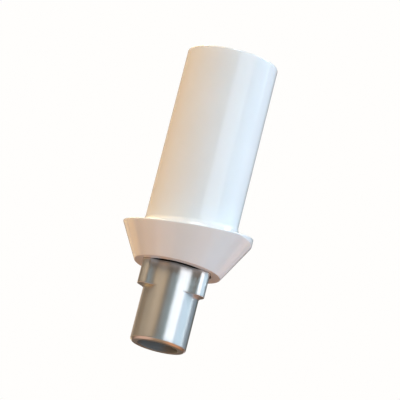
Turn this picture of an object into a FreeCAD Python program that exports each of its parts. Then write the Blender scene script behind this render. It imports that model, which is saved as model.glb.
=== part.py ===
import FreeCAD, Part
import Sketcher
import math
import os

# Dental abutment on a standard 4.3 mm implant platform.
#
# Frame: millimetres, +Z up through the chimney. The origin is the centre of
# the flat ring (the foot) of the white collar, on the axis of the connection
# tube. The collar's rim is lowest towards -Y. The connection hangs below Z = 0.
#
# Pieces
#   sleeve_body        white one-piece body: chimney, flared collar, foot ring,
#                      screw channel and the recess that takes the connection
#   connection_insert  metal tube with three rounded lobes, bonded in the body

os.makedirs("parts", exist_ok=True)
doc = FreeCAD.newDocument("abutment")

# ---------------------------------------------------------------- dimensions
sheet = doc.addObject("Spreadsheet::Sheet", "Dims")
ROWS = [
    # collar (a cone with a narrow straight band above it)
    ("foot_radius", 2.150),          # outer radius of the flat foot ring
    ("band_radius", 3.255),          # radius of the straight band of the rim
    ("band_start", 1.957),           # height where the cone meets the band
    ("blank_top", 3.200),            # height of the collar before the rim cut
    ("rim_height", 2.081),           # height of the rim plane on the axis
    ("rim_tilt", 9.12),              # tilt of the rim plane, degrees
    ("cut_half", 5.000),             # half width of the rim cut
    ("cut_top", 5.000),              # top of the rim cut
    ("rim_round", 0.060),            # rounding of the sharp rim
    ("foot_round", 0.050),           # rounding of the foot's outer edge
    # chimney
    ("chimney_radius", 2.267),
    ("chimney_shift", 0.241),        # its axis lies this far towards +Y
    ("chimney_start", 1.300),        # the pad starts inside the collar
    ("chimney_blank", 11.400),       # height of the chimney before its top is cut
    ("chimney_top", 11.002),         # height of the top plane on the tube's axis
    ("top_tilt", 1.67),              # tilt of the top plane, highest at +Y, degrees
    ("top_limit", 12.000),           # upper end of the top cut
    ("base_round", 0.450),           # cove between chimney and collar
    ("top_round", 0.090),
    # screw channel and bond bore, coaxial with the tube
    ("channel_radius", 1.300),
    ("bond_radius", 1.570),          # bore that the insert is bonded in
    ("bond_top", 2.000),             # ledge that the insert's end meets
    ("mouth_bevel", 0.080),
    # recess in the foot
    ("recess_radius", 1.700),
    ("recess_depth", 0.500),
    ("key_gap", 0.015),              # bond gap round the lobes
    # connection insert
    ("tube_radius", 1.385),
    ("tube_bottom", 3.941),          # length below the foot plane
    ("sleeve_radius", 1.560),        # bonded upper end, inside the body
    ("bore_radius", 1.009),
    ("end_bevel", 0.105),
    ("seat_bevel", 0.270),           # conical seat for the screw head
    ("lobe_bottom", 1.250),          # lobes end this far below the foot plane
    ("lobe_offset", 1.379),          # distance of a lobe's centre from the axis
    ("lobe_radius", 0.471),
    ("web_radius", 1.320),           # hollow curve between lobe and tube
]
for i, (alias, value) in enumerate(ROWS, start=1):
    sheet.set("A%d" % i, alias)
    sheet.set("B%d" % i, repr(value))
    sheet.setAlias("B%d" % i, alias)
doc.recompute()


def dim(alias):
    return float(sheet.get(alias))


# ------------------------------------------------------------------- helpers
def plane_of(body, role):
    for f in body.Origin.OriginFeatures:
        if f.Role == role:
            return f
    raise RuntimeError("no plane " + role)


def new_sketch(body, name, role, lift=None):
    sk = body.newObject("Sketcher::SketchObject", name)
    sk.AttachmentSupport = [(plane_of(body, role), "")]
    sk.MapMode = "FlatFace"
    if lift is not None:
        sk.setExpression("AttachmentOffset.Base.z", lift)
    return sk


def circle(sk, radius_cell, y_cell=None):
    """A circle on the sketch's origin, or shifted along its vertical axis."""
    r = dim(radius_cell)
    y = dim(y_cell) if y_cell else 0.0
    g = sk.addGeometry(Part.Circle(FreeCAD.Vector(0, y, 0), FreeCAD.Vector(0, 0, 1), r), False)
    if y_cell:
        sk.addConstraint(Sketcher.Constraint("PointOnObject", g, 3, -2))
        k = sk.addConstraint(Sketcher.Constraint("DistanceY", -1, 1, g, 3, y))
        sk.setExpression("Constraints[%d]" % k, "Dims." + y_cell)
    else:
        sk.addConstraint(Sketcher.Constraint("Coincident", g, 3, -1, 1))
    k = sk.addConstraint(Sketcher.Constraint("Radius", g, r))
    sk.setExpression("Constraints[%d]" % k, "Dims." + radius_cell)


def polygon(sk, corners):
    """Closed polygon. Each corner is (x, x_rule, y, y_rule); a rule is the
    expression for the distance from the origin, or None on an axis."""
    n = len(corners)
    pts = [FreeCAD.Vector(c[0], c[2], 0) for c in corners]
    ids = [sk.addGeometry(Part.LineSegment(pts[i], pts[(i + 1) % n]), False) for i in range(n)]
    for i in range(n):
        sk.addConstraint(Sketcher.Constraint("Coincident", ids[i], 2, ids[(i + 1) % n], 1))
    for i, (x, xr, y, yr) in enumerate(corners):
        g = ids[i]
        if xr is None and yr is None:
            sk.addConstraint(Sketcher.Constraint("Coincident", g, 1, -1, 1))
            continue
        for kind, value, rule, axis in (("DistanceX", x, xr, -2), ("DistanceY", y, yr, -1)):
            if rule is None:
                sk.addConstraint(Sketcher.Constraint("PointOnObject", g, 1, axis))
            elif value >= 0:
                k = sk.addConstraint(Sketcher.Constraint(kind, -1, 1, g, 1, value))
                sk.setExpression("Constraints[%d]" % k, rule)
            else:
                k = sk.addConstraint(Sketcher.Constraint(kind, g, 1, -1, 1, -value))
                sk.setExpression("Constraints[%d]" % k, rule)


def lobe_outline(sk, grow_cell=None):
    """Outline of tube and three lobes: for each lobe an outer arc, a hollow
    arc on each side of it, and an arc of the tube up to the next lobe.
    The first lobe points along +X. grow_cell moves the outline outwards."""
    g = dim(grow_cell) if grow_cell else 0.0
    tube, lobe, web, off = dim("tube_radius") + g, dim("lobe_radius") + g, dim("web_radius") - g, dim("lobe_offset")
    plus = (" + Dims." + grow_cell) if grow_cell else ""
    minus = (" - Dims." + grow_cell) if grow_cell else ""
    # centre of a hollow arc: tube + web from the axis, lobe + web from the lobe
    beta = math.acos(((tube + web) ** 2 + off ** 2 - (lobe + web) ** 2) / (2 * (tube + web) * off))
    V = FreeCAD.Vector

    def polar(r, a):
        return V(r * math.cos(a), r * math.sin(a), 0)

    def arc(centre, radius, p_from, p_to):
        a0 = math.atan2(p_from.y - centre.y, p_from.x - centre.x)
        a1 = math.atan2(p_to.y - centre.y, p_to.x - centre.x)
        if a1 < a0:
            a1 += 2 * math.pi
        c = Part.Circle(centre, V(0, 0, 1), radius)
        return sk.addGeometry(Part.ArcOfCircle(c, a0, a1), False)

    def touch(c0, c1, r0):
        """point on the circle (c0, r0) that faces c1"""
        d = c1 - c0
        return c0 + d * (r0 / d.Length)

    lobes, before, after, tubes = [], [], [], []
    for i in range(3):
        a = i * 2 * math.pi / 3
        cl = polar(off, a)
        cb, ca = polar(tube + web, a - beta), polar(tube + web, a + beta)
        cb_next = polar(tube + web, a + 2 * math.pi / 3 - beta)
        origin = V(0, 0, 0)
        lobes.append(arc(cl, lobe, touch(cl, cb, lobe), touch(cl, ca, lobe)))
        # hollow arcs run the other way round as seen along the outline
        after.append(arc(ca, web, touch(ca, origin, web), touch(ca, cl, web)))
        before.append(arc(cb, web, touch(cb, cl, web), touch(cb, origin, web)))
        tubes.append(arc(origin, tube, touch(origin, ca, tube), touch(origin, cb_next, tube)))
    for i in range(3):
        j = (i + 1) % 3
        C = Sketcher.Constraint
        sk.addConstraint(C("Tangent", before[i], 1, lobes[i], 1))
        sk.addConstraint(C("Tangent", lobes[i], 2, after[i], 2))
        sk.addConstraint(C("Tangent", after[i], 1, tubes[i], 1))
        sk.addConstraint(C("Tangent", tubes[i], 2, before[j], 2))
    for i in range(3):
        C = Sketcher.Constraint
        sk.addConstraint(C("Coincident", tubes[i], 3, -1, 1))
        for gid, r, rule in ((lobes[i], lobe, "Dims.lobe_radius" + plus), (before[i], web, "Dims.web_radius" + minus),
                             (after[i], web, "Dims.web_radius" + minus)):
            k = sk.addConstraint(C("Radius", gid, r))
            sk.setExpression("Constraints[%d]" % k, rule)
        if i == 0:
            k = sk.addConstraint(C("Radius", tubes[0], tube))
            sk.setExpression("Constraints[%d]" % k, "Dims.tube_radius" + plus)
            sk.addConstraint(C("PointOnObject", lobes[0], 3, -1))
            k = sk.addConstraint(C("DistanceX", -1, 1, lobes[0], 3, off))
            sk.setExpression("Constraints[%d]" % k, "Dims.lobe_offset")
        else:
            sign = 1 if i == 1 else -1
            k = sk.addConstraint(C("DistanceX", lobes[i], 3, -1, 1, off * 0.5))
            sk.setExpression("Constraints[%d]" % k, "Dims.lobe_offset * 0.5")
            if sign > 0:
                k = sk.addConstraint(C("DistanceY", -1, 1, lobes[i], 3, off * math.sqrt(0.75)))
            else:
                k = sk.addConstraint(C("DistanceY", lobes[i], 3, -1, 1, off * math.sqrt(0.75)))
            sk.setExpression("Constraints[%d]" % k, "Dims.lobe_offset * sqrt(0.75)")


def finish_feature(body, feature, cuts):
    """Recompute and make sure that the feature added or removed material."""
    before = feature.BaseFeature.Shape.Volume if getattr(feature, "BaseFeature", None) else 0.0
    doc.recompute()
    after = feature.Shape.Volume
    if cuts and not after < before - 1e-6:
        raise RuntimeError("%s cut nothing (%.4f -> %.4f)" % (feature.Name, before, after))
    if not cuts and not after > before + 1e-6:
        raise RuntimeError("%s added nothing (%.4f -> %.4f)" % (feature.Name, before, after))
    print("%-18s %9.4f -> %9.4f mm3" % (feature.Name, before, after))
    return feature


def pick_edges(shape, rule):
    names = ["Edge%d" % (i + 1) for i, e in enumerate(shape.Edges) if rule(e)]
    if not names:
        raise RuntimeError("no edge found")
    return names


def closed_round(e, radius, z, tol=0.02):
    """a full circle edge of that radius at that height"""
    c = e.Curve
    return isinstance(c, Part.Circle) and abs(c.Radius - radius) < tol and abs(c.Center.z - z) < tol


def dress(body, kind, name, edges, size_cell):
    """fillet or chamfer on the body's present tip"""
    base = body.Tip
    f = body.newObject("PartDesign::" + kind, name)
    f.Base = (base, edges)
    prop = "Radius" if kind == "Fillet" else "Size"
    setattr(f, prop, dim(size_cell))
    f.setExpression(prop, "Dims." + size_cell)
    before = base.Shape.Volume
    doc.recompute()
    print("%-18s %9.4f -> %9.4f mm3" % (name, before, f.Shape.Volume))
    if abs(f.Shape.Volume - before) < 1e-7:
        raise RuntimeError(name + " changed nothing")
    return f


# --------------------------------------------------------------- sleeve_body
body = doc.addObject("PartDesign::Body", "SleeveBody")
body.Label = "sleeve_body"

# Collar blank: flat foot, cone, straight band.
sk = new_sketch(body, "CollarProfile", "XZ_Plane")
polygon(sk, [
    (0.0, None, 0.0, None),
    (dim("foot_radius"), "Dims.foot_radius", 0.0, None),
    (dim("band_radius"), "Dims.band_radius", dim("band_start"), "Dims.band_start"),
    (dim("band_radius"), "Dims.band_radius", dim("blank_top"), "Dims.blank_top"),
    (0.0, None, dim("blank_top"), "Dims.blank_top"),
])
collar = body.newObject("PartDesign::Revolution", "Collar")
collar.Profile = sk
collar.ReferenceAxis = (sk, ["V_Axis"])
collar.Angle = 360.0
finish_feature(body, collar, cuts=False)

def sloping_cut(name, height_cell, tilt_cell, top_cell):
    """Remove everything above a plane that falls towards -Y."""
    slope = math.tan(math.radians(dim(tilt_cell)))
    half, top = dim("cut_half"), dim(top_cell)
    low, high = dim(height_cell) - half * slope, dim(height_cell) + half * slope
    drop = "Dims.%s %%s Dims.cut_half * tan(Dims.%s * 1 deg)" % (height_cell, tilt_cell)
    sk = new_sketch(body, name + "Profile", "YZ_Plane")
    polygon(sk, [
        (-half, "Dims.cut_half", low, drop % "-"),
        (half, "Dims.cut_half", high, drop % "+"),
        (half, "Dims.cut_half", top, "Dims." + top_cell),
        (-half, "Dims.cut_half", top, "Dims." + top_cell),
    ])
    cut = body.newObject("PartDesign::Pocket", name)
    cut.Profile = sk
    cut.Type = "ThroughAll"
    if hasattr(cut, "SideType"):
        cut.SideType = "Symmetric"
    else:
        cut.Midplane = True
    return finish_feature(body, cut, cuts=True)


sloping_cut("RimCut", "rim_height", "rim_tilt", "cut_top")

# Chimney: a plain cylinder whose axis lies a little towards +Y.
sk = new_sketch(body, "ChimneyProfile", "XY_Plane", "Dims.chimney_start")
circle(sk, "chimney_radius", "chimney_shift")
chimney = body.newObject("PartDesign::Pad", "Chimney")
chimney.Profile = sk
chimney.setExpression("Length", "Dims.chimney_blank - Dims.chimney_start")
finish_feature(body, chimney, cuts=False)
sloping_cut("TopCut", "chimney_top", "top_tilt", "top_limit")


# Cove where the chimney meets the sloping top of the collar.
def is_base_edge(e):
    if isinstance(e.Curve, Part.Line):
        return False
    b = e.BoundBox
    r = dim("chimney_radius")
    return (abs(b.XMax - r) < 0.01 and abs(b.XMin + r) < 0.01
            and 1.2 < b.ZMin and b.ZMax < 3.0 and b.ZMax - b.ZMin > 0.3)


dress(body, "Fillet", "BaseCove", pick_edges(body.Tip.Shape, is_base_edge), "base_round")


# Rim: the outer outline of the sloping top.
def is_rim_edge(e):
    if isinstance(e.Curve, Part.Line) or isinstance(e.Curve, Part.Circle):
        return False
    vs = [e.valueAt(e.FirstParameter + t * (e.LastParameter - e.FirstParameter) / 8.0) for t in range(9)]
    sl = math.tan(math.radians(dim("rim_tilt")))
    on_plane = all(abs(v.z - dim("rim_height") - sl * v.y) < 0.01 for v in vs)
    outer = all(math.hypot(v.x, v.y) > 2.75 for v in vs)
    return on_plane and outer


dress(body, "Fillet", "RimRound", pick_edges(body.Tip.Shape, is_rim_edge), "rim_round")


def is_top_edge(e, radius):
    """the oval edge of that radius in the top plane"""
    if isinstance(e.Curve, Part.Line):
        return False
    b = e.BoundBox
    return b.ZMin > dim("chimney_top") - 0.3 and abs((b.XMax - b.XMin) / 2 - radius) < 0.02


# Outer edge of the chimney's end, and outer edge of the foot.
dress(body, "Fillet", "TopRound",
      pick_edges(body.Tip.Shape, lambda e: is_top_edge(e, dim("chimney_radius"))), "top_round")
dress(body, "Fillet", "FootRound",
      pick_edges(body.Tip.Shape, lambda e: closed_round(e, dim("foot_radius"), 0.0)), "foot_round")

# Screw channel from the top down to a ledge, and the wider bond bore below it.
sk = new_sketch(body, "ChannelProfile", "XZ_Plane")
polygon(sk, [
    (0.0, None, -0.5, "0.5"),
    (dim("bond_radius"), "Dims.bond_radius", -0.5, "0.5"),
    (dim("bond_radius"), "Dims.bond_radius", dim("bond_top"), "Dims.bond_top"),
    (dim("channel_radius"), "Dims.channel_radius", dim("bond_top"), "Dims.bond_top"),
    (dim("channel_radius"), "Dims.channel_radius", dim("chimney_blank"), "Dims.chimney_blank"),
    (0.0, None, dim("chimney_blank"), "Dims.chimney_blank"),
])
channel = body.newObject("PartDesign::Groove", "ScrewChannel")
channel.Profile = sk
channel.ReferenceAxis = (sk, ["V_Axis"])
channel.Angle = 360.0
finish_feature(body, channel, cuts=True)

# Recess in the foot: a round counterbore, and the keyed recess for the lobes.
sk = new_sketch(body, "RecessProfile", "XY_Plane")
circle(sk, "recess_radius")
recess = body.newObject("PartDesign::Pocket", "FootRecess")
recess.Profile = sk
recess.setExpression("Length", "Dims.recess_depth")
recess.Reversed = True
finish_feature(body, recess, cuts=True)

sk = new_sketch(body, "KeyProfile", "XY_Plane")
lobe_outline(sk, "key_gap")
key = body.newObject("PartDesign::Pocket", "KeyRecess")
key.Profile = sk
key.setExpression("Length", "Dims.recess_depth")
key.Reversed = True
finish_feature(body, key, cuts=True)

dress(body, "Chamfer", "MouthBevel",
      pick_edges(body.Tip.Shape, lambda e: is_top_edge(e, dim("channel_radius"))), "mouth_bevel")

# --------------------------------------------------------- connection_insert
insert = doc.addObject("PartDesign::Body", "ConnectionInsert")
insert.Label = "connection_insert"

# Tube, from its open end below the foot up to the ceiling of the recess.
sk = new_sketch(insert, "TubeProfile", "XY_Plane", "-Dims.tube_bottom")
circle(sk, "tube_radius")
tube = insert.newObject("PartDesign::Pad", "Tube")
tube.Profile = sk
tube.setExpression("Length", "Dims.tube_bottom + Dims.recess_depth")
finish_feature(insert, tube, cuts=False)

# Three lobes, from their flat lower ends up to the ceiling of the recess.
sk = new_sketch(insert, "LobeProfile", "XY_Plane", "-Dims.lobe_bottom")
lobe_outline(sk)
lobes = insert.newObject("PartDesign::Pad", "Lobes")
lobes.Profile = sk
lobes.setExpression("Length", "Dims.lobe_bottom + Dims.recess_depth")
finish_feature(insert, lobes, cuts=False)

# Bonded end: a slightly wider sleeve from the ceiling of the recess up to the
# ledge in the body.
sk = new_sketch(insert, "SleeveProfile", "XY_Plane", "Dims.recess_depth")
circle(sk, "sleeve_radius")
sleeve = insert.newObject("PartDesign::Pad", "BondedEnd")
sleeve.Profile = sk
sleeve.setExpression("Length", "Dims.bond_top - Dims.recess_depth")
finish_feature(insert, sleeve, cuts=False)

# Bore for the screw's shank, right through.
sk = new_sketch(insert, "BoreProfile", "XY_Plane")
circle(sk, "bore_radius")
bore = insert.newObject("PartDesign::Pocket", "Bore")
bore.Profile = sk
bore.Type = "ThroughAll"
if hasattr(bore, "SideType"):
    bore.SideType = "Symmetric"
else:
    bore.Midplane = True
finish_feature(insert, bore, cuts=True)

dress(insert, "Chamfer", "EndBevel",
      pick_edges(insert.Tip.Shape, lambda e: closed_round(e, dim("tube_radius"), -dim("tube_bottom"))), "end_bevel")
dress(insert, "Chamfer", "ScrewSeat",
      pick_edges(insert.Tip.Shape, lambda e: closed_round(e, dim("bore_radius"), dim("bond_top"))), "seat_bevel")

# -------------------------------------------------------------------- output
doc.recompute()
bad = [o.Name + ":" + ",".join(o.State) for o in doc.Objects if "Invalid" in o.State or "Error" in o.State]
if bad:
    raise RuntimeError("failed objects: " + "; ".join(bad))
for o in doc.Objects:
    if o.TypeId == "Sketcher::SketchObject":
        free = o.solve()
        if free != 0:
            raise RuntimeError("sketch %s does not solve: %d" % (o.Name, free))

for b in (body, insert):
    s = b.Shape
    if s.isNull() or not s.isValid() or len(s.Solids) != 1:
        raise RuntimeError(b.Label + " is not one valid solid")
for b in (body, insert):
    s = b.Shape
    s.exportStep("parts/%s.step" % b.Label)
    bb = s.BoundBox
    print("%-20s volume %8.4f mm3  x %.3f..%.3f  y %.3f..%.3f  z %.3f..%.3f" % (
        b.Label, s.Volume, bb.XMin, bb.XMax, bb.YMin, bb.YMax, bb.ZMin, bb.ZMax))
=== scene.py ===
import bpy
import bmesh
import math
import numpy as np
from mathutils import Matrix, Vector


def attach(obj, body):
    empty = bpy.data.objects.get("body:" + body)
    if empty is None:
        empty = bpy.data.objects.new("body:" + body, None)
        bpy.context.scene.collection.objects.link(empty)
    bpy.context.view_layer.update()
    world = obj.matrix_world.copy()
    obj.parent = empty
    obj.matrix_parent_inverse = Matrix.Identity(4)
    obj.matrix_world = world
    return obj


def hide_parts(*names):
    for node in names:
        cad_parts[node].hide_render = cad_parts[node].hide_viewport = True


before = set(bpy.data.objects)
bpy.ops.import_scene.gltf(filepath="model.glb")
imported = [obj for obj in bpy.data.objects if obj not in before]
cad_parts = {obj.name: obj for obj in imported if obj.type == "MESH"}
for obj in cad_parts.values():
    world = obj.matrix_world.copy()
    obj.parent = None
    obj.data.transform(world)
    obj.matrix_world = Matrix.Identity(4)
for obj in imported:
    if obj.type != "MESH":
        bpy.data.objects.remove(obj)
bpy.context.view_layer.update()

MM = 0.001

# ---------------------------------------------------------------- dimensions
# Millimetres, the same figures as the construction model.
FOOT_R, BAND_R, BAND_Z = 2.150, 3.255, 1.957
CONE_K = (BAND_R - FOOT_R) / BAND_Z
RIM_Z, RIM_T = 2.081, math.tan(math.radians(9.12))
RIM_ROUND, FOOT_ROUND = 0.060, 0.050
CHIM_R, CHIM_Y = 2.267, 0.241
TOP_Z, TOP_T = 11.002, math.tan(math.radians(1.67))
COVE, TOP_ROUND = 0.450, 0.090
CHAN_R, BOND_R, BOND_Z, MOUTH = 1.300, 1.570, 2.000, 0.080
REC_R, REC_D, KEY_GAP = 1.700, 0.500, 0.015
TUBE_R, TUBE_Z, BORE_R, SLEEVE_R = 1.385, -3.941, 1.009, 1.560
END_BEVEL, SEAT = 0.105, 0.270
LOBE_Z, LOBE_C, LOBE_R, WEB_R = -1.250, 1.379, 0.471, 1.320


# ------------------------------------------------------------------- meshes
def ring_mesh(name, rows, closed):
    """A skin through rows of points; every row runs once round the axis.
    closed joins the last row to the first, as in a ring."""
    n = rows[0].shape[0]
    verts = np.concatenate(rows) * MM
    bm = bmesh.new()
    vs = [bm.verts.new(v) for v in verts]
    m = len(rows)
    for j in range(m if closed else m - 1):
        a, b = j * n, ((j + 1) % m) * n
        for i in range(n):
            k = (i + 1) % n
            bm.faces.new((vs[a + i], vs[b + i], vs[b + k], vs[a + k]))
    bmesh.ops.remove_doubles(bm, verts=bm.verts, dist=0.0008 * MM)
    bmesh.ops.dissolve_degenerate(bm, dist=0.0004 * MM, edges=bm.edges)
    bmesh.ops.recalc_face_normals(bm, faces=bm.faces)
    me = bpy.data.meshes.new(name)
    bm.to_mesh(me)
    bm.free()
    me.validate()
    ob = bpy.data.objects.new(name, me)
    bpy.context.scene.collection.objects.link(ob)
    me.shade_smooth()
    me.set_sharp_from_angle(angle=math.radians(28))
    return ob


def lin(a, b, n, last=True):
    """n rows from a to b; a itself is left out."""
    t = [(i + 1) / n for i in range(n)]
    return [a + (b - a) * u for u in (t if last else t[:-1])]


def loop(r, z, ang, cy=0.0):
    """points at radius r and height z; either may vary round the loop"""
    return np.stack([r * np.cos(ang), cy + r * np.sin(ang), z + 0 * ang], axis=1)


def lobe_radius(ang, g=0.0):
    """Distance from the axis to the outline of tube and lobes, moved out by g."""
    tube, lobe, web, off = TUBE_R + g, LOBE_R + g, WEB_R - g, LOBE_C
    beta = math.acos(((tube + web) ** 2 + off ** 2 - (lobe + web) ** 2) / (2 * (tube + web) * off))
    cw = np.array([(tube + web) * math.cos(beta), (tube + web) * math.sin(beta)])
    cl = np.array([off, 0.0])
    tp = cl + (cw - cl) * (lobe / np.linalg.norm(cw - cl))
    first = math.atan2(tp[1], tp[0])
    third = 2 * math.pi / 3
    d = np.abs((ang + third / 2) % third - third / 2)
    r = np.full_like(ang, tube)
    on_lobe = d <= first
    on_web = (d > first) & (d < beta)
    r[on_lobe] = off * np.cos(d[on_lobe]) + np.sqrt(np.maximum(lobe ** 2 - (off * np.sin(d[on_lobe])) ** 2, 0))
    e = beta - d[on_web]
    s = tube + web
    r[on_web] = s * np.cos(e) - np.sqrt(np.maximum(web ** 2 - (s * np.sin(e)) ** 2, 0))
    return r


def arc_between(centre, n0, n1, radius, steps):
    """Rows on a ball of that radius, from direction n0 to direction n1."""
    dot = np.clip(np.sum(n0 * n1, axis=1), -1, 1)
    om = np.arccos(dot)
    out = []
    for i in range(1, steps + 1):
        u = i / steps
        w0 = np.sin((1 - u) * om) / np.sin(om)
        w1 = np.sin(u * om) / np.sin(om)
        out.append(centre + radius * (w0[:, None] * n0 + w1[:, None] * n1))
    return out


def wall_radius(z):
    """Radius of the collar's side at height z: cone, soft crease, straight band."""
    soft = 0.10
    t = soft * math.tan(math.atan(CONE_K) / 2)
    c = t / math.sqrt(1 + CONE_K ** 2)
    z = np.asarray(z, float)
    cone = FOOT_R + CONE_K * z
    r = np.where(z <= BAND_Z - c, cone, BAND_R)
    mid = (z > BAND_Z - c) & (z < BAND_Z + t)
    # the crease is an arc of radius soft, tangent to the band at BAND_Z + t
    zz = BAND_Z + t - z
    r = np.where(mid, BAND_R - soft + np.sqrt(np.maximum(soft ** 2 - zz ** 2, 0)), r)
    return r


def make_body():
    n = 360
    ang = np.arange(n) * (2 * math.pi / n)
    er = np.stack([np.cos(ang), np.sin(ang), 0 * ang], axis=1)
    up = np.array([0, -RIM_T, 1.0]) / math.sqrt(1 + RIM_T ** 2)  # normal of the sloping top
    upn = np.repeat(up[None, :], n, axis=0)
    root = math.sqrt(1 + RIM_T ** 2)
    rows = []

    # end of the chimney, a slightly sloping plane: from the channel's mouth out
    # to the rounded edge
    end_root = math.sqrt(1 + TOP_T ** 2)
    end_n = np.repeat(np.array([[0, -TOP_T, 1.0]]) / end_root, n, axis=0)
    mouth = loop(CHAN_R + MOUTH, TOP_Z + TOP_T * (CHAN_R + MOUTH) * np.sin(ang), ang)
    edge_c = loop(CHIM_R - TOP_ROUND, TOP_Z - TOP_ROUND * end_root + TOP_T * (CHIM_Y + (CHIM_R - TOP_ROUND) * np.sin(ang)), ang, CHIM_Y)
    rows.append(mouth)
    rows += lin(mouth, edge_c + TOP_ROUND * end_n, 6)
    rows += arc_between(edge_c, end_n, er, TOP_ROUND, 8)

    # chimney wall down to the cove
    cx = (CHIM_R + COVE) * np.cos(ang)
    cy = CHIM_Y + (CHIM_R + COVE) * np.sin(ang)
    cz = RIM_Z + RIM_T * cy + COVE * root
    cove_c = np.stack([cx, cy, cz], axis=1)
    touch = cove_c - COVE * er
    rows += lin(rows[-1], touch, 36)
    rows += arc_between(cove_c, -er, -upn, COVE, 20)

    # sloping top out to the rounded rim
    rr = RIM_ROUND
    s, q = np.sin(ang), math.sqrt(1 + CONE_K ** 2)
    z_in = RIM_Z - rr * root
    rho_cone = (FOOT_R - rr * q + CONE_K * z_in) / (1 - CONE_K * RIM_T * s)
    rho_band = BAND_R - rr
    on_band = rho_cone + rr / q > BAND_R
    # a short blend where the crease runs out at the rim
    rho = np.where(on_band, rho_band, rho_cone)
    gap = np.clip((rho_cone + rr / q - BAND_R) / 0.05 + 0.5, 0, 1)
    nc = np.stack([np.cos(ang) / q, np.sin(ang) / q, np.full(n, -CONE_K / q)], axis=1)
    side = nc * (1 - gap)[:, None] + er * gap[:, None]
    side /= np.linalg.norm(side, axis=1)[:, None]
    rim_c = np.stack([rho * np.cos(ang), rho * np.sin(ang), z_in + RIM_T * rho * s], axis=1)
    rows += lin(rows[-1], rim_c + rr * upn, 10)
    rim = arc_between(rim_c, upn, side, rr, 8)
    for row in rim:                                   # never wider than the band
        row[:, :2] *= np.minimum(1.0, BAND_R / np.hypot(row[:, 0], row[:, 1]))[:, None]
    rows += rim

    # side of the collar: band, crease, cone
    z_top = rows[-1][:, 2]
    z_a = np.minimum(BAND_Z + 0.027, z_top - 0.02)
    z_b = np.minimum(BAND_Z - 0.023, z_a - 0.03)
    z_f = FOOT_ROUND - FOOT_ROUND * CONE_K / q
    for z0, z1, k in ((z_top, z_a, 6), (z_a, z_b, 5), (z_b, np.full(n, z_f), 26)):
        for i in range(1, k + 1):
            z = z0 + (z1 - z0) * i / k
            rows.append(loop(wall_radius(z), z, ang))

    # rounded edge of the foot
    fr = FOOT_R + CONE_K * FOOT_ROUND - FOOT_ROUND * q
    foot_c = loop(fr, FOOT_ROUND, ang)
    down = np.repeat(np.array([[0, 0, -1.0]]), n, axis=0)
    rows += arc_between(foot_c, nc, down, FOOT_ROUND, 8)

    # foot ring, recess with its three keyways, and the bond bore
    rec = np.maximum(REC_R, lobe_radius(ang, KEY_GAP))
    lip = 0.018
    rows += lin(rows[-1], loop(rec + lip, 0.0, ang), 5)
    for i in range(1, 5):
        a = math.pi / 2 * i / 4
        rows.append(loop(rec + lip - lip * math.sin(a), lip - lip * math.cos(a), ang))
    rows += lin(rows[-1], loop(rec, REC_D, ang), 6)
    rows += lin(rows[-1], loop(BOND_R, REC_D, ang), 4)
    rows += lin(rows[-1], loop(BOND_R, BOND_Z, ang), 4)
    rows += lin(rows[-1], loop(CHAN_R, BOND_Z, ang), 1)

    # screw channel up to its bevelled mouth
    rows += lin(rows[-1], loop(CHAN_R, TOP_Z - MOUTH + TOP_T * CHAN_R * np.sin(ang), ang), 30)
    rows += lin(rows[-1], mouth, 3, last=False)
    return ring_mesh("abutment_body", rows, closed=True)


def make_insert():
    n = 480
    ang = np.arange(n) * (2 * math.pi / n)
    out = lobe_radius(ang)
    step = out - TUBE_R
    out = np.where(step < 0.003, TUBE_R, out)
    edge = np.minimum(0.022, (out - TUBE_R) * 0.35)   # softened lower edge of the lobes
    soft = 0.014                                      # softened edges of the open end
    rows = []

    def corner(r0, z0, a0, a1, rad, steps=4):
        for i in range(0, steps + 1):
            a = a0 + (a1 - a0) * i / steps
            rows.append(loop(r0 + rad * math.cos(a), z0 + rad * math.sin(a), ang))

    # open end: mouth of the bore, flat ring, bevel
    corner(BORE_R + soft, TUBE_Z + soft, math.pi, 1.5 * math.pi, soft)
    t = soft * math.tan(math.radians(22.5))
    corner(TUBE_R - END_BEVEL - t, TUBE_Z + soft, 1.5 * math.pi, 1.75 * math.pi, soft, 3)
    corner(TUBE_R - soft, TUBE_Z + END_BEVEL + t, 1.75 * math.pi, 2 * math.pi, soft, 3)
    # round tube up to the lobes
    rows += lin(rows[-1], loop(TUBE_R, LOBE_Z, ang), 16)
    # lower ends of the lobes, and their walls up into the recess
    rows += lin(rows[-1], loop(out - edge, LOBE_Z, ang), 4)
    for i in range(1, 5):
        a = math.pi / 2 * i / 4
        rows.append(loop(out - edge + edge * math.sin(a), LOBE_Z + edge - edge * math.cos(a), ang))
    rows += lin(rows[-1], loop(out, REC_D, ang), 18)
    rows += lin(rows[-1], loop(np.maximum(out, SLEEVE_R), REC_D, ang), 1)
    rows += lin(rows[-1], loop(SLEEVE_R, REC_D, ang), 3)
    # bonded end, conical seat for the screw's head, bore
    rows += lin(rows[-1], loop(SLEEVE_R, BOND_Z, ang), 6)
    rows += lin(rows[-1], loop(BORE_R + SEAT, BOND_Z, ang), 2)
    rows += lin(rows[-1], loop(BORE_R, BOND_Z - SEAT, ang), 4)
    rows += lin(rows[-1], rows[0], 30, last=False)
    return ring_mesh("three_lobe_insert", rows, closed=True)


body = make_body()
insert = make_insert()
for ob, node, slot in ((body, "sleeve_body", "white_ceramic"), (insert, "connection_insert", "bright_metal")):
    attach(ob, "root")
    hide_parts(node)


# ---------------------------------------------------------------- materials
def node(nt, kind, x, y, **values):
    nd = nt.nodes.new(kind)
    nd.location = (x, y)
    for k, v in values.items():
        setattr(nd, k, v)
    return nd


def new_material(name):
    m = bpy.data.materials.new(name)
    m.use_nodes = True
    nt = m.node_tree
    nt.nodes.clear()
    out = node(nt, "ShaderNodeOutputMaterial", 900, 0)
    bs = node(nt, "ShaderNodeBsdfPrincipled", 600, 0)
    nt.links.new(bs.outputs["BSDF"], out.inputs["Surface"])
    return m, nt, bs


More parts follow.
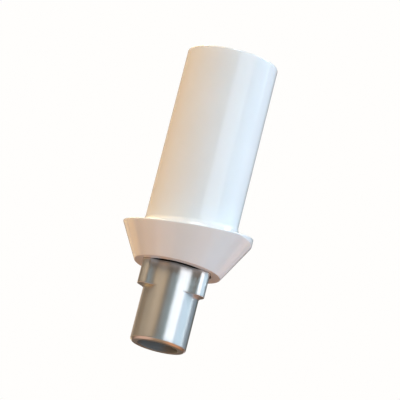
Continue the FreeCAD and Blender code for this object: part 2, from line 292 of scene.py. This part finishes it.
def ramp(nt, x, y, stops):
    r = node(nt, "ShaderNodeValToRGB", x, y)
    cr = r.color_ramp
    while len(cr.elements) > 1:
        cr.elements.remove(cr.elements[-1])
    cr.elements[0].position, cr.elements[0].color = stops[0][0], stops[0][1]
    for p, c in stops[1:]:
        e = cr.elements.new(p)
        e.color = c
    return r


def ceramic():
    """Dense white ceramic, polished: faint cloudiness in its colour, a very
    slight unevenness of gloss, and the finest trace of machining."""
    m, nt, bs = new_material("white_ceramic_finish")
    L = nt.links.new
    tc = node(nt, "ShaderNodeTexCoord", -1200, 0)
    cloud = node(nt, "ShaderNodeTexNoise", -900, 250)
    cloud.inputs["Scale"].default_value = 420.0
    cloud.inputs["Detail"].default_value = 3.0
    cloud.inputs["Roughness"].default_value = 0.5
    L(tc.outputs["Object"], cloud.inputs["Vector"])
    tint = ramp(nt, -650, 250, [(0.30, (0.865, 0.855, 0.845, 1)), (0.70, (0.895, 0.888, 0.880, 1))])
    L(cloud.outputs["Fac"], tint.inputs["Fac"])
    # inside the recess round the insert the colour is painted near black: painted shade of the gap between the
    # sleeve and the insert
    flat = node(nt, "ShaderNodeVectorMath", -1050, 620, operation="MULTIPLY")
    flat.inputs[1].default_value = (1.0, 1.0, 0.0)
    L(tc.outputs["Object"], flat.inputs[0])
    span = node(nt, "ShaderNodeVectorMath", -850, 620, operation="LENGTH")
    L(flat.outputs["Vector"], span.inputs[0])
    place = node(nt, "ShaderNodeSeparateXYZ", -850, 480)
    L(tc.outputs["Object"], place.inputs[0])
    near = node(nt, "ShaderNodeMath", -650, 620, operation="LESS_THAN")
    L(span.outputs["Value"], near.inputs[0])
    near.inputs[1].default_value = 1.90 * MM
    above = node(nt, "ShaderNodeMapRange", -650, 480)
    above.inputs["From Min"].default_value = 0.045 * MM
    above.inputs["From Max"].default_value = 0.105 * MM
    L(place.outputs["Z"], above.inputs["Value"])
    below = node(nt, "ShaderNodeMath", -650, 400, operation="LESS_THAN")
    L(place.outputs["Z"], below.inputs[0])
    below.inputs[1].default_value = (REC_D + 0.01) * MM
    both = node(nt, "ShaderNodeMath", -450, 560, operation="MULTIPLY")
    L(near.outputs["Value"], both.inputs[0])
    L(above.outputs["Result"], both.inputs[1])
    recess_shade = node(nt, "ShaderNodeMath", -300, 500, operation="MULTIPLY")
    L(both.outputs["Value"], recess_shade.inputs[0])
    L(below.outputs["Value"], recess_shade.inputs[1])
    # the foot's flat seat, which faces down, is painted a little darker: painted shade
    seat_shade_mask = node(nt, "ShaderNodeMapRange", -300, 700)
    seat_shade_mask.inputs["From Min"].default_value = 0.030 * MM
    seat_shade_mask.inputs["From Max"].default_value = 0.010 * MM
    L(place.outputs["Z"], seat_shade_mask.inputs["Value"])
    seat = node(nt, "ShaderNodeMix", -250, 350, data_type="RGBA")
    L(seat_shade_mask.outputs["Result"], seat.inputs["Factor"])
    L(tint.outputs["Color"], seat.inputs["A"])
    seat.inputs["B"].default_value = (0.790, 0.740, 0.710, 1)
    shade = node(nt, "ShaderNodeMix", -100, 350, data_type="RGBA")
    L(recess_shade.outputs["Value"], shade.inputs["Factor"])
    L(seat.outputs["Result"], shade.inputs["A"])
    shade.inputs["B"].default_value = (0.030, 0.026, 0.022, 1)
    L(shade.outputs["Result"], bs.inputs["Base Color"])
    gloss = node(nt, "ShaderNodeTexNoise", -900, -50)
    gloss.inputs["Scale"].default_value = 1500.0
    gloss.inputs["Detail"].default_value = 4.0
    L(tc.outputs["Object"], gloss.inputs["Vector"])
    gr = node(nt, "ShaderNodeMapRange", -650, -50)
    gr.inputs["From Min"].default_value = 0.3
    gr.inputs["From Max"].default_value = 0.7
    gr.inputs["To Min"].default_value = 0.045
    gr.inputs["To Max"].default_value = 0.075
    L(gloss.outputs["Fac"], gr.inputs["Value"])
    L(gr.outputs["Result"], bs.inputs["Roughness"])
    # turned and polished: long, very faint rings round the axis
    mp = node(nt, "ShaderNodeMapping", -1000, -350)
    mp.inputs["Scale"].default_value = (600.0, 600.0, 14000.0)
    L(tc.outputs["Object"], mp.inputs["Vector"])
    fine = node(nt, "ShaderNodeTexNoise", -800, -350)
    fine.inputs["Scale"].default_value = 1.0
    fine.inputs["Detail"].default_value = 2.0
    L(mp.outputs["Vector"], fine.inputs["Vector"])
    bump = node(nt, "ShaderNodeBump", -300, -350)
    bump.inputs["Strength"].default_value = 0.05
    bump.inputs["Distance"].default_value = 0.000004
    L(fine.outputs["Fac"], bump.inputs["Height"])
    L(bump.outputs["Normal"], bs.inputs["Normal"])
    bs.inputs["IOR"].default_value = 1.52
    bs.inputs["Specular IOR Level"].default_value = 0.5
    bs.inputs["Subsurface Weight"].default_value = 0.12
    bs.inputs["Subsurface Radius"].default_value = (1.0, 0.8, 0.65)
    bs.inputs["Subsurface Scale"].default_value = 0.0004
    return m


def metal():
    """Turned and polished titanium: warm grey, fine rings round the axis."""
    m, nt, bs = new_material("turned_metal_finish")
    L = nt.links.new
    tc = node(nt, "ShaderNodeTexCoord", -1300, 0)
    tone = node(nt, "ShaderNodeTexNoise", -900, 300)
    tone.inputs["Scale"].default_value = 700.0
    tone.inputs["Detail"].default_value = 3.0
    L(tc.outputs["Object"], tone.inputs["Vector"])
    tint = ramp(nt, -650, 300, [(0.30, (0.690, 0.672, 0.652, 1)), (0.70, (0.740, 0.724, 0.706, 1))])
    L(tone.outputs["Fac"], tint.inputs["Fac"])
    mp = node(nt, "ShaderNodeMapping", -1050, -100)
    mp.inputs["Scale"].default_value = (500.0, 500.0, 26000.0)
    L(tc.outputs["Object"], mp.inputs["Vector"])
    rings = node(nt, "ShaderNodeTexNoise", -850, -100)
    rings.inputs["Scale"].default_value = 1.0
    rings.inputs["Detail"].default_value = 3.0
    L(mp.outputs["Vector"], rings.inputs["Vector"])
    rr = node(nt, "ShaderNodeMapRange", -600, -100)
    rr.inputs["From Min"].default_value = 0.3
    rr.inputs["From Max"].default_value = 0.7
    rr.inputs["To Min"].default_value = 0.28
    rr.inputs["To Max"].default_value = 0.33
    L(rings.outputs["Fac"], rr.inputs["Value"])
    # the bore is drilled and left rougher than the outside
    flat = node(nt, "ShaderNodeVectorMath", -1050, 100, operation="MULTIPLY")
    flat.inputs[1].default_value = (1.0, 1.0, 0.0)
    L(tc.outputs["Object"], flat.inputs[0])
    span = node(nt, "ShaderNodeVectorMath", -850, 100, operation="LENGTH")
    L(flat.outputs["Vector"], span.inputs[0])
    inside = node(nt, "ShaderNodeMapRange", -600, 100)
    inside.inputs["From Min"].default_value = 1.020 * MM
    inside.inputs["From Max"].default_value = 1.012 * MM
    inside.inputs["To Min"].default_value = 0.0
    inside.inputs["To Max"].default_value = 0.32
    L(span.outputs["Value"], inside.inputs["Value"])
    # inside the bore the colour is painted a darker bluish grey: painted shade and a painted cool reflection
    bore_shade_mask = node(nt, "ShaderNodeMapRange", -600, 560)
    bore_shade_mask.inputs["From Min"].default_value = 1.020 * MM
    bore_shade_mask.inputs["From Max"].default_value = 1.012 * MM
    L(span.outputs["Value"], bore_shade_mask.inputs["Value"])
    shade = node(nt, "ShaderNodeMix", -300, 300, data_type="RGBA")
    L(bore_shade_mask.outputs["Result"], shade.inputs["Factor"])
    L(tint.outputs["Color"], shade.inputs["A"])
    shade.inputs["B"].default_value = (0.36, 0.40, 0.41, 1)
    # inside the recess the tube's colour is painted near black: painted shade of the gap between the insert and the
    # sleeve
    place = node(nt, "ShaderNodeSeparateXYZ", -850, 700)
    L(tc.outputs["Object"], place.inputs[0])
    recess_shade_ramp = node(nt, "ShaderNodeMapRange", -600, 760)
    recess_shade_ramp.inputs["From Min"].default_value = -0.015 * MM
    recess_shade_ramp.inputs["From Max"].default_value = 0.015 * MM
    L(place.outputs["Z"], recess_shade_ramp.inputs["Value"])
    recess_shade = node(nt, "ShaderNodeMix", -100, 350, data_type="RGBA")
    L(recess_shade_ramp.outputs["Result"], recess_shade.inputs["Factor"])
    L(shade.outputs["Result"], recess_shade.inputs["A"])
    recess_shade.inputs["B"].default_value = (0.020, 0.018, 0.016, 1)
    L(recess_shade.outputs["Result"], bs.inputs["Base Color"])
    total = node(nt, "ShaderNodeMath", -350, 0, operation="ADD")
    L(rr.outputs["Result"], total.inputs[0])
    L(inside.outputs["Result"], total.inputs[1])
    L(total.outputs["Value"], bs.inputs["Roughness"])
    bump = node(nt, "ShaderNodeBump", -300, -350)
    bump.inputs["Strength"].default_value = 0.10
    bump.inputs["Distance"].default_value = 0.000003
    L(rings.outputs["Fac"], bump.inputs["Height"])
    L(bump.outputs["Normal"], bs.inputs["Normal"])
    tg = node(nt, "ShaderNodeTangent", 300, -450)
    tg.direction_type = "RADIAL"
    tg.axis = "Z"
    L(tg.outputs["Tangent"], bs.inputs["Tangent"])
    bs.inputs["Metallic"].default_value = 1.0
    bs.inputs["Anisotropic"].default_value = 0.50
    bs.inputs["Anisotropic Rotation"].default_value = 0.25
    return m


for ob, mat in ((body, ceramic()), (insert, metal())):
    ob.data.materials.clear()
    ob.data.materials.append(mat)

# ------------------------------------------------------------------- camera
AZ, TILT, ROLL = math.radians(34.28), math.radians(13.99), math.radians(14.28)
FOCAL, DIST, OFF_X, OFF_Y = 3227.6, 156.71, -1.1161, -3.3750  # pixels and millimetres
xr = Vector((math.cos(AZ), math.sin(AZ), 0))
toward = Vector((math.sin(AZ), -math.cos(AZ), 0))
zup = Vector((0, 0, 1))
right, cup, back = xr, math.sin(TILT) * toward + math.cos(TILT) * zup, math.cos(TILT) * toward - math.sin(TILT) * zup
right_r = math.cos(ROLL) * right + math.sin(ROLL) * cup
up_r = -math.sin(ROLL) * right + math.cos(ROLL) * cup
eye = (DIST * back - OFF_X * right_r - OFF_Y * up_r) * MM
cam = bpy.data.cameras.new("camera")
cam.sensor_fit = "HORIZONTAL"
cam.sensor_width = 36.0
cam.lens = FOCAL / 400.0 * 36.0
cam.clip_start, cam.clip_end = 0.005, 5.0
cam_ob = bpy.data.objects.new("camera", cam)
rot = Matrix((right_r, up_r, back)).transposed().to_4x4()
cam_ob.matrix_world = Matrix.Translation(eye) @ rot
bpy.context.scene.collection.objects.link(cam_ob)
bpy.context.scene.camera = cam_ob


# ------------------------------------------------------------ stage and light
def pale_floor():
    """Plain pale floor. It throws back less light than it shows, so that the
    undersides keep the depth that they have over a dark table."""
    m, nt, bs = new_material("floor_paint")
    bs.inputs["Base Color"].default_value = (0.30, 0.27, 0.23, 1)
    bs.inputs["Roughness"].default_value = 0.9
    bs.inputs["Specular IOR Level"].default_value = 0.1
    bs.inputs["Emission Color"].default_value = (0.66, 0.62, 0.56, 1)
    bs.inputs["Emission Strength"].default_value = 1.0
    dim = node(nt, "ShaderNodeBsdfDiffuse", 600, -500)
    dim.inputs["Color"].default_value = (0.34, 0.22, 0.14, 1)
    ray = node(nt, "ShaderNodeLightPath", 400, 300)
    pick = node(nt, "ShaderNodeMixShader", 850, -200)
    out = nt.nodes["Material Output"]
    out.location = (1100, 0)
    nt.links.new(ray.outputs["Is Camera Ray"], pick.inputs["Fac"])
    nt.links.new(dim.outputs["BSDF"], pick.inputs[1])
    nt.links.new(bs.outputs["BSDF"], pick.inputs[2])
    nt.links.new(pick.outputs["Shader"], out.inputs["Surface"])
    return m


FLOOR_Z = -0.110
me = bpy.data.meshes.new("floor")
h = 0.60
me.from_pydata([(-h, -h, FLOOR_Z), (h, -h, FLOOR_Z), (h, h, FLOOR_Z), (-h, h, FLOOR_Z)], [], [(0, 1, 2, 3)])
floor = bpy.data.objects.new("floor", me)
bpy.context.scene.collection.objects.link(floor)
me.materials.append(pale_floor())


def softbox(name, az, el, wide, high, colour, dist=150.0):
    """Soft light at an azimuth right of the camera and an elevation, facing
    the middle of the object. az, el, wide and high are in degrees as seen from
    the object, colour is the light's own brightness, dist is in millimetres."""
    a = AZ + math.radians(az)
    e = math.radians(el)
    d = Vector((math.sin(a) * math.cos(e), -math.cos(a) * math.cos(e), math.sin(e)))
    li = bpy.data.lights.new(name, "AREA")
    li.shape = "RECTANGLE"
    li.size = 2 * dist * MM * math.tan(math.radians(wide / 2))
    li.size_y = 2 * dist * MM * math.tan(math.radians(high / 2))
    top = max(colour)
    li.color = [c / top for c in colour]
    li.energy = top * math.pi * li.size * li.size_y
    ob = bpy.data.objects.new(name, li)
    x = Vector((0, 0, 1)).cross(d).normalized()
    y = d.cross(x)
    ob.matrix_world = Matrix.Translation(Vector((0, 0, 3.0 * MM)) + d * dist * MM) @ Matrix((x, y, d)).transposed().to_4x4()
    ob.visible_camera = False
    bpy.context.scene.collection.objects.link(ob)
    return ob


softbox("key", 35, 14, 41, 22, (1.76, 1.76, 1.82))
softbox("cool_side", 82, 14, 42, 24, (0.54, 0.70, 0.82))
softbox("edge_strip", 105, 14, 2.4, 50, (2.40, 2.80, 3.00))
softbox("left_strip", -54, 14, 1.8, 50, (0.55, 0.50, 0.46))
softbox("left_top", -68, 40, 62, 24, (3.90, 2.76, 1.60))
softbox("back_top", -145, 40, 44, 24, (3.60, 2.60, 1.35))
softbox("right_top", 85, 40, 62, 24, (2.94, 3.50, 4.30))
softbox("front_top", 10, 40, 40, 24, (1.55, 2.42, 2.92))
softbox("low_left", -70, -24, 60, 32, (0.55, 0.22, 0.05), 110)
softbox("low_front", 0, -24, 60, 32, (0.31, 0.52, 0.73), 110)
softbox("low_right", 70, -24, 60, 32, (0.32, 0.52, 0.69), 110)
softbox("under_left", -96, -56, 96, 34, (0.56, 0.38, 0.33), 90)
softbox("under_right", 96, -56, 96, 34, (0.48, 0.17, 0.06), 90)
softbox("under_front", 0, -56, 96, 34, (0.28, 0.23, 0.16), 90)
softbox("rear_low", 180, -14, 80, 14, (0.15, 0.12, 0.11), 150)
softbox("side_low_left", -120, -10, 44, 16, (1.05, 0.68, 0.28), 130)
softbox("side_low_right", 120, -10, 44, 16, (0.86, 0.46, 0.32), 130)
softbox("side_rear_left", -160, -3, 26, 13, (0.60, 0.45, 0.25), 150)
softbox("side_rear_right", 160, -3, 26, 13, (0.50, 0.40, 0.44), 150)
softbox("left_rear_wall", -119, 14, 44, 50, (0.14, 0.10, 0.10), 170)
softbox("warm_wall", -67, 14, 60, 50, (0.19, 0.18, 0.18), 170)
softbox("front_wall", -16, 14, 42, 50, (0.10, 0.06, 0.05), 170)
softbox("right_wall", 81, 14, 124, 50, (0.18, 0.26, 0.36), 170)
softbox("back_left", -160, 14, 38, 50, (0.42, 0.31, 0.25))
# three small lamps, whose glints lie along the fillet over the collar
softbox("lamp_top", 5, 84, 12, 9, (14.0, 14.0, 14.5))
softbox("lamp_right", 135, 51, 12, 8, (13.0, 13.0, 13.0))
softbox("lamp_left", -145, 53, 12, 8, (14.0, 13.2, 12.0))

# The pale surroundings that the camera sees, and the dim room that lights the object.
world = bpy.data.worlds.new("studio")
bpy.context.scene.world = world
world.use_nodes = True
wt = world.node_tree
bg = wt.nodes["Background"]
bg.name = "room"
bg.inputs["Color"].default_value = (0.05, 0.06, 0.03, 1)
bg.inputs["Strength"].default_value = 1.0
seen = node(wt, "ShaderNodeBackground", 0, -200)
seen.name = "seen"
seen.inputs["Color"].default_value = (1.0, 0.99, 0.975, 1)
path = node(wt, "ShaderNodeLightPath", -200, 300)
mix = node(wt, "ShaderNodeMixShader", 250, 0)
wt.links.new(path.outputs["Is Camera Ray"], mix.inputs["Fac"])
wt.links.new(bg.outputs["Background"], mix.inputs[1])
wt.links.new(seen.outputs["Background"], mix.inputs[2])
wt.links.new(mix.outputs["Shader"], wt.nodes["World Output"].inputs["Surface"])

scene = bpy.context.scene
scene.view_settings.view_transform = "Standard"
scene.view_settings.look = "None"
scene.view_settings.exposure = 0.0
scene.view_settings.gamma = 1.0
